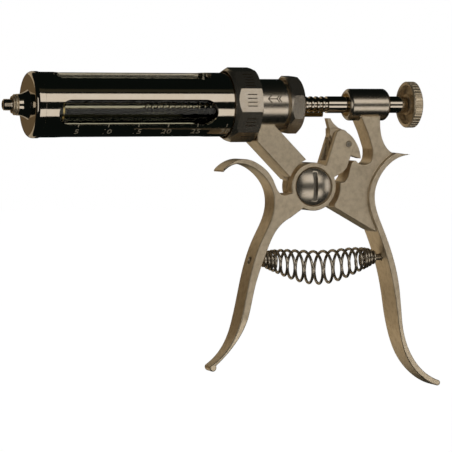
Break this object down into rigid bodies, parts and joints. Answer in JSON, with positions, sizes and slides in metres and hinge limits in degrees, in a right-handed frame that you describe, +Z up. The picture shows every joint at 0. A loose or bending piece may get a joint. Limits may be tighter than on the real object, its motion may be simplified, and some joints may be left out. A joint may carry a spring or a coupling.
{
  "type": "repeating syringe",
  "caption": "All-metal repeating syringe with plier handles, windowed barrel, ringed plunger rod and a pawl drive.",
  "frame": {"origin": "centre of the needle spigot's tip, on the barrel axis", "axes": "+X back along the barrel to the knob, +Z up with the handles hanging down, -Y the side with the hinge screw's head"},
  "size_m": [0.2118, 0.0336, 0.1494],
  "materials": {
    "polished_nickel": "polished nickel plate, warm",
    "satin_nickel": "satin nickel plate over cast brass",
    "glass": "clear, faint green",
    "rubber": "matt black",
    "spring_steel": "bright drawn steel",
    "bare_brass": "machined brass"
  },
  "bodies": {
    "frame": {"needle_connector": "polished_nickel", "connector_washer": "polished_nickel", "front_cap": "polished_nickel", "front_seal": "rubber", "glass_cylinder": "glass", "rear_seal": "rubber", "barrel_case": "polished_nickel", "grip_frame": "satin_nickel", "rod_bush": "bare_brass", "guide_bush": "bare_brass", "rear_nut": "polished_nickel", "nut_washer": "rubber", "detent_ball": "spring_steel", "detent_spring": "spring_steel", "hinge_screw": "polished_nickel", "hinge_washer": "spring_steel", "hinge_nut": "satin_nickel", "spring_stud_rear": "spring_steel", "handle_spring": "spring_steel"},
    "lever": {"front_lever": "satin_nickel", "pawl_pin": "spring_steel", "pawl_spring": "spring_steel", "spring_stud_front": "spring_steel"},
    "pawl": {"pawl": "satin_nickel"},
    "plunger": {"piston_rod": "polished_nickel", "piston_front_plate": "bare_brass", "piston_rubber": "rubber", "piston_back_plate": "bare_brass"},
    "knob": {"knob": "polished_nickel", "spindle": "spring_steel", "knob_nut": "polished_nickel"},
    "selector": {"selector_ring": "polished_nickel", "drive_pin": "spring_steel", "selector_sleeve": "bare_brass", "cam_pin": "spring_steel"},
    "dose_stop": {"dose_stop": "bare_brass"}
  },
  "joints": [
    {"name": "lever_squeeze", "type": "hinge", "parent": "frame", "child": "lever", "pos_m": [0.1462, 0, -0.0376], "axis": [0, -1, 0], "range_deg": [0, 24], "stiffness_Nm_per_rad": 2.5, "springref_deg": -14.32, "deforming": ["handle_spring"]},
    {"name": "pawl_tilt", "type": "hinge", "parent": "lever", "child": "pawl", "pos_m": [0.1637, 0, -0.0182], "axis": [0, -1, 0], "range_deg": [-4.5, 0.5]},
    {"name": "plunger_slide", "type": "slide", "parent": "frame", "child": "plunger", "axis": [1, 0, 0], "range_m": [0, 0.084]},
    {"name": "knob_turn", "type": "hinge", "parent": "plunger", "child": "knob", "pos_m": [0.1976, 0, 0], "axis": [1, 0, 0], "continuous": true},
    {"name": "selector_turn", "type": "hinge", "parent": "frame", "child": "selector", "pos_m": [0.1104, 0, 0], "axis": [1, 0, 0], "range_deg": [-108, 36]},
    {"name": "dose_stop_slide", "type": "slide", "parent": "frame", "child": "dose_stop", "axis": [1, 0, 0], "range_m": [-0.0028, 0.0084]}
  ],
  "couplings": [
    {"joint": "pawl_tilt", "follows": "lever_squeeze", "ratio": -0.15},
    {"joint": "dose_stop_slide", "follows": "selector_turn", "m_per_rad": -0.0044563}
  ]
}
